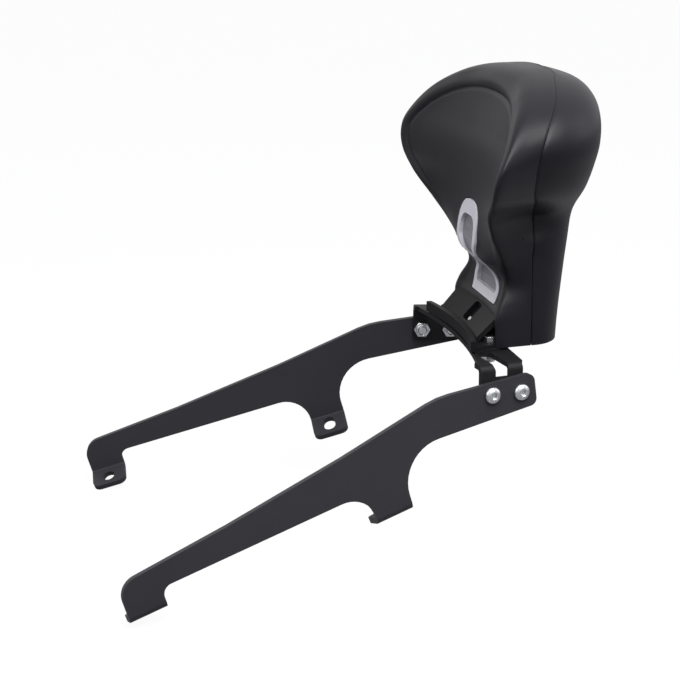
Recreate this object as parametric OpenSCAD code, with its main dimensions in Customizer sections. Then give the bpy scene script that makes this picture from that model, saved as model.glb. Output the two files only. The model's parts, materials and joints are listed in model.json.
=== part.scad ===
/* [Arms] */
// Thickness of the arm plates
arm_t = 5; // [4:0.5:6]
// Distance between the outer faces of the arms, at the mid feet
arm_span = 248; // [230:1:270]
// Angle by which each arm closes in towards the rear
arm_splay = 9.65; // [8:0.05:11]
// Rise of the arms towards the rear
arm_slope = 17.6; // [14:0.1:20]
// Distance from the middle of the mid feet forward to the front edge
arm_reach = 226.5; // [200:0.5:250]
// Height of the straight lower edge above the mid feet
arm_clear = 29; // [26:0.5:32]
// Depth of the arm behind its front corner
arm_depth = 19.5; // [17:0.5:24]
// Height of the arm's shoulder above the mid feet
shoulder_h = 76.5; // [74:0.5:82]
// Inner radius of the folds
fold_r = 1.5; // [1:0.5:3]

/* [Feet] */
// Width of the front feet
front_foot_w = 31; // [28:0.5:36]
// Width of the mid feet
mid_foot_w = 32; // [29:0.5:36]
// Rise of the front feet above the mid feet
front_foot_rise = 13; // [8:0.5:16]
// Length of the front feet, from the fold to the tip
front_foot_l = 23; // [21:0.5:28]
// Length of the mid feet, from the fold to the tip
mid_foot_l = 26; // [24:0.5:29]
// Angle by which the feet droop towards the middle
foot_droop = 18; // [5:1:25]
// Diameter of the front feet's holes, and width of the mid feet's slots
foot_hole_d = 11; // [9:0.5:12]
// Length of the slots in the mid feet
mid_slot_l = 17; // [13:0.5:18]
// Distance of the holes and slots from the fold
foot_hole_at = 12.5; // [11:0.5:13.5]
// Corner radius of the feet
foot_corner_r = 7; // [4:0.5:9]

/* [Cross bracket] */
// Thickness of the folded bracket
bracket_t = 4; // [3:0.5:5]
// Height of the bracket's top face
bracket_top = 113; // [110:0.5:118]
// Depth of the bracket's top, front to rear at its ends
bracket_depth = 40; // [36:0.5:44]
// How far the bracket's front edge bows inwards at the middle
bracket_bow = 10.5; // [6:0.5:14]
// Outer radius of the bracket's bends
bend_r = 6; // [5:0.5:8]
// Width of the slot across each bend
bend_slot_w = 13.5; // [10:0.5:16]

/* [Fixings] */
// Distance between the two bolts of each arm
bolt_spacing = 26.2; // [24:0.1:28]
// Thread diameter of the bolts
bolt_d = 8; // [6:1:8]
// Play around a bolt in its hole
bolt_play = 0.4; // [0.2:0.05:0.6]
// Head diameter of the button head bolts
button_d = 14; // [13:0.5:15]
// Width of the nuts and hex heads across their flats
hex_af = 13; // [12:0.5:13.5]
// Distance of the base bolts in from the sides of the neck
base_bolt_in = 10; // [9:0.5:11]

/* [Backrest] */
// Width of the backrest across its wings
pad_w = 278; // [260:1:290]
// Width of the neck below the wings
neck_w = 116; // [108:1:120]
// Height of the backrest above the bracket
pad_h = 228; // [216:1:240]
// Thickness of the pad between bracket and moulding
gasket_t = 2; // [1:0.5:3]
// Height of the foot's flat part
foot_plate_t = 3.5; // [2.5:0.5:4.5]
// Height of the lip along the foot's front edge
lip_h = 9; // [7:0.5:10]

/* [Trim] */
// Half width of the trim's upper loop
trim_upper_x = 24.5; // [22:0.5:27]
// Half width of the trim's lower loop
trim_lower_x = 32.5; // [30:0.5:35]
// Half width of the trim at its waist
trim_waist_x = 19; // [17:0.5:22]
// Width of the trim's frame beside its openings
trim_rim = 6; // [5:0.5:8]
// Height by which the trim stands out of the cushion
trim_proud = 1.25; // [0.75:0.25:3]
// Depth to which the trim is let into the cushion
trim_t = 4; // [3:0.5:7]

/* [Hidden] */
$fn = 48;

left = 1;
right = -1;
eps = 0.01;

// Gap that keeps seated pieces from sharing a surface
seat_gap = 0.3;

// Rounded outlines, given as corners [x, y, radius]
function unit(v) = v / norm(v);
function wrap(a) = a > 180 ? a - 360 : a < -180 ? a + 360 : a;
function xy(p) = [p[0], p[1]];
function corner(a, b, c, r) =
    r == 0 ? [b] :
    let(u = unit(a - b), v = unit(c - b), half = acos(u * v) / 2)
    let(reach = r / tan(half), centre = b + unit(u + v) * r / sin(half))
    let(p = b + u * reach - centre, q = b + v * reach - centre)
    let(start = atan2(p[1], p[0]), sweep = wrap(atan2(q[1], q[0]) - start))
    let(steps = max(1, ceil(abs(sweep) / 9)))
    [for (i = [0:steps]) centre + r * [cos(start + sweep * i / steps), sin(start + sweep * i / steps)]];
function rounded(list) = [for (i = [0:len(list) - 1])
    each corner(xy(list[(i + len(list) - 1) % len(list)]), xy(list[i]), xy(list[(i + 1) % len(list)]), list[i][2])];

// Smooth curve through rows [at, value]
function row_at(t, x) = len([for (r = t) if (r[0] <= x) 1]) - 1;
function slope_at(t, i) = i <= 0 || i >= len(t) - 1 ? 0 : (t[i + 1][1] - t[i - 1][1]) / (t[i + 1][0] - t[i - 1][0]);
function curve(t, x) =
    x <= t[0][0] ? t[0][1] :
    x >= t[len(t) - 1][0] ? t[len(t) - 1][1] :
    let(i = row_at(t, x), w = t[i + 1][0] - t[i][0], s = (x - t[i][0]) / w)
    (2 * s ^ 3 - 3 * s ^ 2 + 1) * t[i][1] + (s ^ 3 - 2 * s ^ 2 + s) * w * slope_at(t, i)
    + (3 * s ^ 2 - 2 * s ^ 3) * t[i + 1][1] + (s ^ 3 - s ^ 2) * w * slope_at(t, i + 1);

// Arm outline in its own plane: y runs rearwards, z upwards, both from the mid foot
fold_z = 4.4;
fold_stub = 2;
fold_lap = 0.2;
front_top = arm_clear + arm_depth;
foot_inner_y = front_foot_w - arm_reach;
first_bolt = [107.5, 61.1];
row_angle = atan(cos(arm_splay) * tan(arm_slope));
rear_bolt = first_bolt + bolt_spacing * [cos(row_angle), -sin(row_angle)];
tail_y = rear_bolt[0] + 12.5;
shoulder_y = 62;
brow_y = -80;
notch_r = 24;
arch_top = 49;
arch_r = 34;
tail_z = 37.8;
arm_outline = rounded([
    [-arm_reach, front_foot_rise + fold_z, 0],
    [foot_inner_y, front_foot_rise + fold_z, 0],
    [foot_inner_y, arm_clear, 8],
    [-mid_foot_w / 2, arm_clear, notch_r],
    [-mid_foot_w / 2, fold_z, 0],
    [mid_foot_w / 2, fold_z, 0],
    [mid_foot_w / 2, arch_top, arch_r],
    [tail_y - 1.5, tail_z, 6],
    [tail_y + 3, shoulder_h - 12, 7],
    [shoulder_y, shoulder_h + 1.5, 70],
    [brow_y, front_top + 8.5, 1600],
    [-arm_reach, front_top - 3.5, 16]]);

module arm_frame(side) {
    mirror([side < 0 ? 1 : 0, 0, 0])
        rotate([arm_slope, 0, 0])
            translate([arm_span / 2, 0, 0])
                rotate([0, 0, arm_splay])
                    children();
}

// Frame of the bolt row: x outwards from the arm's outer face, y level to the rear, z upwards
module row_frame(side) {
    arm_frame(side)
        translate([0, first_bolt[0], first_bolt[1]])
            rotate([-row_angle, 0, 0])
                children();
}

module foot(width, length, hole_l) {
    turn = 90 - foot_droop;
    fold_l = fold_r * turn * PI / 180;
    tab_l = length - fold_l;
    translate([fold_r, 0, -fold_lap])
        cube([arm_t, width, fold_stub]);
    rotate([-90, 0, 0]) {
        rotate_extrude(angle = turn)
            translate([fold_r, 0])
                square([arm_t, width]);
        rotate([0, 0, turn])
            translate([fold_r, 0, 0])
                rotate([90, 0, 90])
                    linear_extrude(arm_t)
                        difference() {
                            polygon(rounded([[-fold_lap, 0, 0], [tab_l, 0, foot_corner_r],
                                [tab_l, width, foot_corner_r], [-fold_lap, width, 0]]));
                            translate([foot_hole_at - fold_l, width / 2])
                                if (hole_l > foot_hole_d) stadium(hole_l, foot_hole_d);
                                else circle(d = foot_hole_d);
                        }
    }
}

// Slot with round ends, along x
module stadium(l, w) {
    polygon(rounded([[-l / 2, -w / 2, w / 2 - eps], [l / 2, -w / 2, w / 2 - eps],
        [l / 2, w / 2, w / 2 - eps], [-l / 2, w / 2, w / 2 - eps]]));
}

module arm(side) {
    color("#26262a")
        difference() {
            arm_frame(side) {
                translate([-arm_t, 0, 0])
                    rotate([90, 0, 90])
                        linear_extrude(arm_t)
                            polygon(arm_outline);
                translate([-arm_t - fold_r, -mid_foot_w / 2, fold_z])
                    foot(mid_foot_w, mid_foot_l, mid_slot_l);
                translate([-arm_t - fold_r, -arm_reach, front_foot_rise + fold_z])
                    foot(front_foot_w, front_foot_l, foot_hole_d);
            }
            bolt_bores(side);
        }
}

module bolt_bores(side) {
    row_frame(side)
        for (y = [0, bolt_spacing])
            translate([-arm_t - bracket_t - 1, y, 0])
                rotate([0, 90, 0])
                    cylinder(d = bolt_d + bolt_play, h = arm_t + bracket_t + 2);
}

// Cross bracket: a folded saddle between the arms
row_z = first_bolt[0] * cos(arm_splay) * sin(arm_slope) + first_bolt[1] * cos(arm_slope);
row_y = first_bolt[0] * cos(arm_splay) * cos(arm_slope) - first_bolt[1] * sin(arm_slope);
row_tilt = asin(sin(arm_splay) * sin(arm_slope));
top_above_row = bracket_top - row_z;
flange_front = -10.5;
flange_rear = bolt_spacing - flange_front;
flange_drop = 12;
bracket_front = row_y + flange_front + 0.8;
bracket_rear = bracket_front + bracket_depth;
slot_y = bolt_spacing / 2 - 2;
slot_bottom = 16.5;
slot_reach = 33;
function arm_inner_x(y, z) = (arm_span / 2 * cos(arm_splay) - arm_t
    - y * sin(arm_splay) * cos(arm_slope) - z * sin(row_tilt)) / (cos(arm_splay));
function bow_y(x, y, bow, half) = let(r = (half ^ 2 + bow ^ 2) / (2 * bow)) y + bow - r + sqrt(r ^ 2 - x ^ 2);

module cross_bracket() {
    half = arm_inner_x(bracket_front, bracket_top) - bend_r;
    half_rear = arm_inner_x(bracket_rear, bracket_top) - bend_r;
    front_edge = [for (i = [-12:12]) [half * i / 12, bow_y(half * i / 12, bracket_front, bracket_bow, half)]];
    color("#1e1e21")
        difference() {
            union() {
                translate([0, 0, bracket_top - bracket_t])
                    linear_extrude(bracket_t)
                        polygon(concat(front_edge, [[half_rear, bracket_rear], [-half_rear, bracket_rear]]));
                for (side = [left, right])
                    row_frame(side)
                        flange();
            }
            for (side = [left, right]) {
                row_frame(side)
                    bend_slot();
                bolt_bores(side);
                on_bracket()
                    base_bore(side, -bracket_t - 1, bracket_t + 2);
            }
        }
}

// Flange, bend and the edge of the top plate, cut from one folded strip
bend_tail = 12;
function top_line(x, drop) = (top_above_row - drop - x * sin(row_tilt)) / cos(row_tilt);
module flange() {
    outer = -arm_t;
    inner = outer - bracket_t;
    tail = outer - bend_tail;
    rear_top = bracket_rear - row_y;
    intersection() {
        translate([0, 60, 0])
            rotate([90, 0, 0])
                linear_extrude(80)
                    polygon(rounded([
                        [inner, -flange_drop - 1, 0],
                        [outer, -flange_drop - 1, 0],
                        [outer, top_line(outer, 0), bend_r],
                        [tail, top_line(tail, 0), 0],
                        [tail, top_line(tail, bracket_t), 0],
                        [inner, top_line(inner, bracket_t), bend_r - bracket_t]]));
        translate([tail - 1, 0, 0])
            rotate([90, 0, 90])
                linear_extrude(bend_tail + 2)
                    polygon(rounded([
                        [flange_front, -flange_drop, 5],
                        [flange_rear, -flange_drop, 5],
                        [flange_rear, 9, 4],
                        [rear_top, 9, 2],
                        [rear_top, top_above_row + 5, 0],
                        [flange_front, top_above_row + 5, 0]]));
    }
}

module bend_slot() {
    inner = -arm_t - bracket_t;
    room = arm_inner_x(bracket_front, bracket_top) - base_bolt_x - bolt_d;
    slot_end_x = min(slot_reach, room);
    translate([inner - 1, slot_y, slot_bottom + 20])
        rotate([0, 90, 0])
            linear_extrude(bracket_t + 3)
                stadium(40, bend_slot_w);
    translate([inner - slot_end_x + 20, slot_y, slot_bottom - 4])
        linear_extrude(20)
            stadium(40, bend_slot_w);
}

// Bolts and nuts
module hexagon(af, h) {
    cylinder(d = af / cos(30), h = h, $fn = 6);
}

thread_gap = 0.1;
nut_h = 6;
collar_h = 2;
collar_d = 11.2;
button_h = 4.4;
hex_head_h = 5.3;
key_af = 5;

module lock_nut() {
    color("#c9cacd")
        difference() {
            union() {
                hexagon(hex_af, nut_h);
                translate([0, 0, nut_h])
                    cylinder(d = collar_d, h = collar_h);
            }
            translate([0, 0, -1])
                cylinder(d = bolt_d + 2 * thread_gap, h = nut_h + collar_h + 2);
        }
}

module button_bolt(grip) {
    color("#d2d3d6")
        difference() {
            union() {
                rotate_extrude()
                    polygon(concat([[0, 0], [button_d / 2, 0], [button_d / 2, 1]],
                        [for (a = [15:15:60]) [button_d / 2 * cos(a), 1 + (button_h - 1) * sin(a) / sin(60)]],
                        [[0, button_h]]));
                translate([0, 0, -grip])
                    cylinder(d = bolt_d, h = grip + eps);
            }
            translate([0, 0, button_h - 2.6])
                hexagon(key_af, 4);
        }
}

module hex_bolt(grip) {
    color("#d2d3d6") {
        hexagon(hex_af, hex_head_h);
        translate([0, 0, -grip])
            cylinder(d = bolt_d, h = grip + eps);
    }
}

module arm_bolt(side, place) {
    row_frame(side)
        translate([0, place * bolt_spacing, 0])
            rotate([0, 90, 0])
                button_bolt(arm_t + bracket_t + nut_h + collar_h);
}

module arm_nut(side, place) {
    row_frame(side)
        translate([-arm_t - bracket_t, place * bolt_spacing, 0])
            rotate([0, -90, 0])
                lock_nut();
}

// Frame of the backrest: y runs back from the bracket's front edge, z up from its top
module on_bracket() {
    translate([0, bracket_front, bracket_top])
        children();
}

// Foot of the backrest
foot_top = gasket_t + foot_plate_t;
split_y = 27;
neck_x = neck_w / 2;
base_bolt_x = neck_x - base_bolt_in;
base_bolt_y = 24.7;
foot_half = neck_x + 8;
foot_bow = 7.5;
foot_front = 3;
foot_r = (foot_half ^ 2 + foot_bow ^ 2) / (2 * foot_bow);
foot_centre_y = foot_front + foot_bow - foot_r;
split_mid = split_y + neck_x ^ 2 / (2 * foot_r);
gasket_inset = 1.5;

module base_bore(side, z, h) {
    translate([side * base_bolt_x, base_bolt_y, z])
        cylinder(d = bolt_d + bolt_play, h = h);
}

module base_bolt(side) {
    on_bracket()
        translate([side * base_bolt_x, base_bolt_y, foot_top])
            hex_bolt(foot_plate_t + gasket_t + bracket_t + nut_h + collar_h);
}

module base_nut(side) {
    on_bracket()
        translate([side * base_bolt_x, base_bolt_y, -bracket_t])
            rotate([180, 0, 0])
                lock_nut();
}

function foot_edge(inset) = [for (i = [-10:10])
    let(x = (foot_half - inset) * i / 10) [x, bow_y(x, foot_front + inset, foot_bow, foot_half)]];
function reversed(list) = [for (i = [len(list) - 1:-1:0]) list[i]];

module base_gasket() {
    half = neck_x - gasket_inset;
    color("#141415")
        on_bracket()
            difference() {
                linear_extrude(gasket_t)
                    polygon(concat(foot_edge(gasket_inset),
                        [[half, bracket_depth - 1], [-half, bracket_depth - 1]]));
                for (side = [left, right])
                    base_bore(side, -1, gasket_t + 2);
            }
}

// Sweeps a profile of [y, z] along the foot's hollow front edge
module around_foot(half, profile) {
    turn = asin(half / foot_r);
    translate([0, foot_centre_y, 0])
        rotate([0, 0, 90 - turn])
            rotate_extrude(angle = 2 * turn, $fn = 240)
                polygon([for (p = profile) [p[0] - foot_centre_y, p[1]]]);
}

// Foot moulding: plate, lip, and a sloping panel that is open at both sides over the bolts
panel_half = neck_x - 8;
panel_t = 4;
rib_half = base_bolt_x - 12;
panel_low = [14.6, 7.5];
panel_high = [split_mid - seat_gap, 26.5];
slope_angle = atan2(panel_high[1] - panel_low[1], panel_high[0] - panel_low[0]);
lip_w = 4.5;
recess_d = hex_af + 5;
recess_h = 13;

// The foot plate's tongue runs back under the cushion
tongue_x = neck_x - 3;
tongue_y = 36;

module bolt_recess(side) {
    translate([side * base_bolt_x, base_bolt_y, foot_top])
        cylinder(d = recess_d, h = recess_h);
}

module neck_cover() {
    drop = panel_t / cos(slope_angle);
    color("#3a3a3e")
        on_bracket()
            difference() {
                union() {
                    translate([0, 0, gasket_t])
                        linear_extrude(foot_plate_t)
                            polygon(concat(foot_edge(0), [[neck_x, split_y], [tongue_x, split_y],
                                [tongue_x, tongue_y], [-tongue_x, tongue_y], [-tongue_x, split_y],
                                [-neck_x, split_y]]));
                    translate([0, 0, gasket_t])
                        linear_extrude(lip_h)
                            polygon(concat(foot_edge(0), [for (p = reversed(foot_edge(0))) [p[0], p[1] + lip_w]]));
                    around_foot(panel_half, [panel_low, panel_high, panel_high - [0, drop],
                        [panel_low[0] + 3, panel_low[1] + 3 * tan(slope_angle) - drop],
                        [panel_low[0], gasket_t + 1]]);
                    around_foot(rib_half, [[panel_low[0] + 1, gasket_t + 1], [panel_high[0], gasket_t + 1],
                        panel_high - [0, 1], [panel_low[0] + 1, panel_low[1] + tan(slope_angle) - 1]]);
                }
                for (side = [left, right])
                    base_bore(side, gasket_t - 1, foot_plate_t + 2);
                panel_slot();
                screw_bore();
            }
}

// Recess in the sloping panel, with a small screw on its floor
slot_w = 17;
slot_l = 19;
slot_deep = 4.5;
slot_r = 4;
slot_mid = [25, panel_low[1] + (25 - panel_low[0]) * tan(slope_angle)];
screw_head_d = 5;
screw_head_h = 2.2;
screw_d = 3;
screw_l = 5;

// Frame on the slope: z square to the panel, y up along it from the slot's middle
module on_slope() {
    translate([0, slot_mid[0], slot_mid[1]])
        rotate([slope_angle, 0, 0])
            children();
}

module panel_slot() {
    on_slope()
        translate([0, 0, -slot_deep])
            linear_extrude(slot_deep + 6)
                polygon(rounded([[-slot_w / 2, -slot_l / 2, slot_r], [slot_w / 2, -slot_l / 2, slot_r],
                    [slot_w / 2, slot_l / 2, slot_r], [-slot_w / 2, slot_l / 2, slot_r]]));
}

module at_screw() {
    on_slope()
        translate([0, screw_head_d / 2 + 0.5 - slot_l / 2, -slot_deep])
            children();
}

module screw_bore() {
    at_screw()
        translate([0, 0, -screw_l - 1])
            cylinder(d = screw_d + 2 * thread_gap, h = screw_l + 2);
}

module cover_screw() {
    color("#d2d3d6")
        on_bracket()
            at_screw() {
                rotate_extrude()
                    polygon(concat([[0, 0], [screw_head_d / 2, 0]],
                        [for (a = [0:15:75])
                            [screw_head_d / 2 - 1 + cos(a), screw_head_h - 1 + sin(a)]],
                        [[0, screw_head_h]]));
                translate([0, 0, -screw_l])
                    cylinder(d = screw_d, h = screw_l + eps);
            }
}

// Backrest: arches of points, each from the foot up one side, over the top and down the other.
// Its curves are rows of height and value, drawn for a backrest of the standard height.
standard_h = 228;
wing_x = pad_w / 2;
part_neck_x = neck_x - 2;
part_wing_x = wing_x - 10;
front_top_z = 220;
wide_z = 162;
part_wide_z = 176;
heart_z = 130;
side_bulge = 1.5;
top_bulge = 6;

front_flare = [[26, 0], [37, -0.03], [52, -0.1], [64, -0.045], [77, 0.085], [90, 0.19], [102, 0.31],
    [124, 0.65], [140, 0.91], [162, 1]];
part_flare = [[78, 0], [89, 0.04], [102, 0.02], [114, 0.06], [124, 0.34], [134, 0.61], [145, 0.77],
    [157, 0.89], [176, 1]];
front_edge_line = [[0, split_y], [14, split_y], [26.5, split_y], [36, 29.5], [55, 36], [77, 27], [90, 19.7],
    [102, 12], [124, -0.5], [145, -5], [163, -3], [179, 5], [195, 15.5], [209, 28], [220, 38]];
front_mid_line = [[0, split_mid], [14, split_mid], [26.5, split_mid], [34, 35.4], [45, 37.7], [55, 36.7], [64, 28.8],
    [71, 21], [78, 17.6], [90, 17.6], [104, 19.3], [116, 20.5], [145, 21.5], [163, 24], [179, 29.5], [202, 38.5],
    [220, 44]];
front_power = [[26.5, 2], [36, 3], [64, 3], [86, 2]];
part_edge_line = [[0, 59], [60, 57.5], [100, 56], [112, 54.5], [124, 46], [140, 37], [157, 33.5], [170, 32.5],
    [182, 35], [200, 44], [214, 56], [223, 65.5], [228, 75]];
part_mid_line = [[0, 67], [87, 65], [127, 67], [177, 73], [228, 75]];
rise_line = [[0, 0], [124, 0], [145, 1], [163, 6], [179, 8.5], [202, 8.5], [220, 8]];
rear_mid_line = [[0, 93.5], [29, 95], [79, 100], [124, 104], [150, 107], [175, 110], [198, 111], [212, 105],
    [222, 92], [228, 77]];

function smooth(s) = let(c = min(1, max(0, s))) 3 * c ^ 2 - 2 * c ^ 3;
function dome(s, p, q) = (1 - min(1, max(0, s)) ^ p) ^ (1 / q);
function front_x(z) = z < wide_z
    ? neck_x + (wing_x - neck_x) * curve(front_flare, z)
    : wing_x * dome((z - wide_z) / (front_top_z - wide_z), 1.6, 2.2);
function part_x(z) = z < part_wide_z
    ? part_neck_x + (part_wing_x - part_neck_x) * curve(part_flare, z)
    : part_wing_x * dome((z - part_wide_z) / (standard_h - part_wide_z), 2, 2.3);

// How far across the body a point lies, from 0 at the middle to 1 at the edge
function across(x, w) = min(1, abs(x) / max(1, w));
function front_y(x, z) = let(m = curve(front_mid_line, z))
    m + (curve(front_edge_line, z) - m) * across(x, front_x(z)) ^ curve(front_power, z);
function part_y(x, z) = let(m = curve(part_mid_line, z))
    m + (curve(part_edge_line, z) - m) * across(x, part_x(z)) ^ 2;
function rear_y(x, z) = let(p = part_y(x, z))
    p + (curve(rear_mid_line, z) - p) * (1 - across(x, part_x(z)) ^ 2.1) ^ (1 / 2.1);

levels = concat([gasket_t, 14, 26.5], [for (z = [31:6:wide_z - 3]) z],
    [for (i = [0:14]) wide_z + (front_top_z - wide_z) * sin(90 * i / 14)]);
front_frame = [for (z = levels) [z < front_top_z ? front_x(z) : 0, z]];
part_frame = [for (z = levels) let(h = z + curve(rise_line, z)) [h < standard_h ? part_x(h) : 0, h]];

// Shrinks an arch towards the middle
function shrunk(arch, k) = [for (p = arch) [p[0] * k, p[1] < heart_z ? p[1] : heart_z + (p[1] - heart_z) * k]];
function front_arch(k) = [for (p = shrunk(front_frame, k)) [p[0], front_y(p[0], p[1]), p[1]]];
function part_arch(k, gap) = [for (p = shrunk(part_frame, k)) [p[0], part_y(p[0], p[1]) + gap, p[1]]];
function rear_arch(k) = [for (p = shrunk(part_frame, k)) [p[0], rear_y(p[0], p[1]) + seat_gap, p[1]]];
function side_arch(s) =
    let(a = front_arch(1), b = part_arch(1, 0), out = sin(180 * s ^ 0.6))
    [for (i = [0:len(a) - 1])
        let(turn = 90 * smooth((a[i][2] - wide_z + 10) / (front_top_z - wide_z)))
        a[i] + (b[i] - a[i]) * s ^ 1.6
            + out * [a[i][0] > 0 ? side_bulge * cos(turn) : 0, 0, top_bulge * sin(turn)]];

// Heights above the foot follow the height of the backrest
function to_height(z) = z <= panel_high[1] ? z
    : panel_high[1] + (z - panel_high[1]) * (pad_h - panel_high[1]) / (standard_h - panel_high[1]);

module loft(arches) {
    rings = [for (a = arches)
        let(full = concat(a, [for (i = [len(a) - 2:-1:0]) [-a[i][0], a[i][1], a[i][2]]]))
        [for (p = full) [p[0], p[1], to_height(p[2])]]];
    n = len(rings[0]);
    top = (n - 1) / 2;
    e = (len(rings) - 1) * n;
    polyhedron(
        points = [for (ring = rings) each ring],
        faces = concat(
            [for (r = [0:n:e - n], i = [0:n - 2]) each [
                [r + i, r + n + i, r + n + i + 1],
                [r + i, r + n + i + 1, r + i + 1]]],
            [for (i = [0:top - 2]) each [
                [i, i + 1, n - 2 - i],
                [i, n - 2 - i, n - 1 - i]]],
            [[top - 1, top, top + 1]],
            [for (i = [0:top - 2]) each [
                [e + i, e + n - 2 - i, e + i + 1],
                [e + i, e + n - 1 - i, e + n - 2 - i]]],
            [[e + top - 1, e + top + 1, e + top]],
            [concat([for (r = [e:-n:0]) r], [for (r = [0:n:e]) r + n - 1])]));
}

module front_cushion() {
    color("#3c3c40")
        on_bracket()
            difference() {
                loft(concat(
                    [for (k = [0.12, 0.3, 0.45, 0.6, 0.72, 0.83, 0.92]) front_arch(k)],
                    [for (s = [0:6]) side_arch(s / 6)],
                    [for (k = [0.7, 0.4, 0.12]) part_arch(k, 0)]));
                trim_body(seat_gap, trim_t + seat_gap, 30);
                translate([-tongue_x - seat_gap, 0, 0])
                    cube([2 * (tongue_x + seat_gap), tongue_y + seat_gap, foot_top + seat_gap]);
                for (side = [left, right])
                    bolt_recess(side);
            }
}

module rear_shell() {
    color("#2b2b2e")
        on_bracket()
            loft(concat(
                [for (k = [0.12, 0.4, 0.7, 1]) part_arch(k, seat_gap)],
                [for (k = [0.985, 0.95, 0.89, 0.81, 0.7, 0.56, 0.38, 0.16]) rear_arch(k)]));
}

// Trim: an S-shaped frame around two openings, let into the cushion
trim_bottom = 32;
trim_lobe_z = 46;
trim_waist_z = 67;
trim_loop_z = 84;
trim_top = 116;
trim_band = 8;
trim_cap = 12.5;

// The cushion's middle line, moved out by a distance
function trim_line(out) = [for (z = [trim_bottom - 6:3:trim_top + 6]) [curve(front_mid_line, z) - out, to_height(z)]];

module trim_profile(front, back) {
    rotate([90, 0, 90])
        linear_extrude(pad_w, center = true)
            polygon(concat(trim_line(front), reversed(trim_line(-back))));
}

// Symmetric outline from the corners [x, z, radius] of its right half, upwards
function both_sides(half) = rounded([
    each [for (p = half) [p[0], to_height(p[1]), p[2]]],
    each [for (p = reversed(half)) [-p[0], to_height(p[1]), p[2]]]]);

module trim_prism() {
    rotate([90, 0, 0])
        linear_extrude(pad_w, center = true)
            children();
}

function trim_corners(grow) = [
    [trim_lower_x - 2.5 + grow, trim_bottom - grow, 2],
    [trim_lower_x + 1 + grow, trim_lobe_z, 10],
    [trim_waist_x - 1 + grow, trim_waist_z, 9],
    [trim_upper_x + 0.5 + grow, trim_loop_z, 12],
    [trim_upper_x - 1 + grow, trim_top + grow, 20]];

module trim_body(grow, back, front) {
    intersection() {
        trim_profile(front, back);
        trim_prism()
            polygon(both_sides(trim_corners(grow)));
    }
}

module trim() {
    color("#cdcbd4")
        on_bracket()
            intersection() {
                trim_profile(trim_proud, trim_t);
                trim_prism()
                    difference() {
                        polygon(both_sides(trim_corners(0)));
                        polygon(both_sides([
                            [trim_lower_x - trim_rim - 2, trim_bottom + trim_band, 3],
                            [trim_lower_x - trim_rim, trim_lobe_z, 6],
                            [trim_waist_x - trim_rim + 1, trim_waist_z - 5, 3]]));
                        polygon(both_sides([
                            [trim_waist_x - trim_rim, trim_waist_z + 2, 3],
                            [trim_upper_x - trim_rim, trim_loop_z, 10],
                            [trim_upper_x - trim_rim - 1, trim_top - trim_cap, 12]]));
                    }
            }
}

arm(left);  // left_arm
arm(right);  // right_arm
cross_bracket();
arm_bolt(left, 0);  // arm_bolt_left_front
arm_bolt(left, 1);  // arm_bolt_left_rear
arm_bolt(right, 0);  // arm_bolt_right_front
arm_bolt(right, 1);  // arm_bolt_right_rear
arm_nut(left, 0);  // arm_nut_left_front
arm_nut(left, 1);  // arm_nut_left_rear
arm_nut(right, 0);  // arm_nut_right_front
arm_nut(right, 1);  // arm_nut_right_rear
base_gasket();
base_bolt(left);  // base_bolt_left
base_bolt(right);  // base_bolt_right
base_nut(left);  // base_nut_left
base_nut(right);  // base_nut_right
neck_cover();
cover_screw();
front_cushion();
rear_shell();
trim();
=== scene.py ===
import json
import math

import bmesh
import bpy
import numpy as np
from mathutils import Matrix, Vector

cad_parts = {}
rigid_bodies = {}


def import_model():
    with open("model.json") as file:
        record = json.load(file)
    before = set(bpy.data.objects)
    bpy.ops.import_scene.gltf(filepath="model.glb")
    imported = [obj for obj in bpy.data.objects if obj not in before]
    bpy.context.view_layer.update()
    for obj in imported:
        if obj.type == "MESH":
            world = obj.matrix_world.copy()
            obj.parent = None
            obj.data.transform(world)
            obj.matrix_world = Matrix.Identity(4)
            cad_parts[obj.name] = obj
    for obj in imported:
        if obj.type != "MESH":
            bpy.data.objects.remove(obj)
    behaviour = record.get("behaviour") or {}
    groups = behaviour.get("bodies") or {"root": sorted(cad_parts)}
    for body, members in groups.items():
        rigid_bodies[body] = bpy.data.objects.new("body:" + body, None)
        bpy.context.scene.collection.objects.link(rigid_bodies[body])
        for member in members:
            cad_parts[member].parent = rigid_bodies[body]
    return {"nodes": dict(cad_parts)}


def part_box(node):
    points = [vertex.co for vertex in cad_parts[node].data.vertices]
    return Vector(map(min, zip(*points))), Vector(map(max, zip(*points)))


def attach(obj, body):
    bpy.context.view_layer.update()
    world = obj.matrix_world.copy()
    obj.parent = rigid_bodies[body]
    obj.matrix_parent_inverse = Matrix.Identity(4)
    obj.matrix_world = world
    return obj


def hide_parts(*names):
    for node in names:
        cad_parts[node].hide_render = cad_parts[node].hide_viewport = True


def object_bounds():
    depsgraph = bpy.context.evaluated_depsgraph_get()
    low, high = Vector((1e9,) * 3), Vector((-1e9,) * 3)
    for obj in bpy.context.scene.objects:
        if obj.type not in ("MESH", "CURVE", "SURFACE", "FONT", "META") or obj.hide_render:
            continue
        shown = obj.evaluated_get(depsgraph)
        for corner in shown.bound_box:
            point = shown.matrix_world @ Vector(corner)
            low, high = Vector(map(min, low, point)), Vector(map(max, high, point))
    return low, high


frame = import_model()
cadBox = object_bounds()
scene = bpy.context.scene
mm = 0.001
print("frame loaded")


def hexColor(code):
    # sRGB hex to linear light
    parts = [int(code[i:i + 2], 16) / 255 for i in (1, 3, 5)]
    return [c / 12.92 if c <= 0.04045 else ((c + 0.055) / 1.055) ** 2.4 for c in parts] + [1.0]


def addNode(tree, kind, values=None, links=None, **settings):
    # one node: its settings, its socket values and what feeds its sockets
    node = tree.nodes.new(kind)
    for key, value in settings.items():
        setattr(node, key, value)
    for key, value in (values or {}).items():
        node.inputs[key].default_value = value
    for key, source in (links or {}).items():
        tree.links.new(source, node.inputs[key])
    return node


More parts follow.
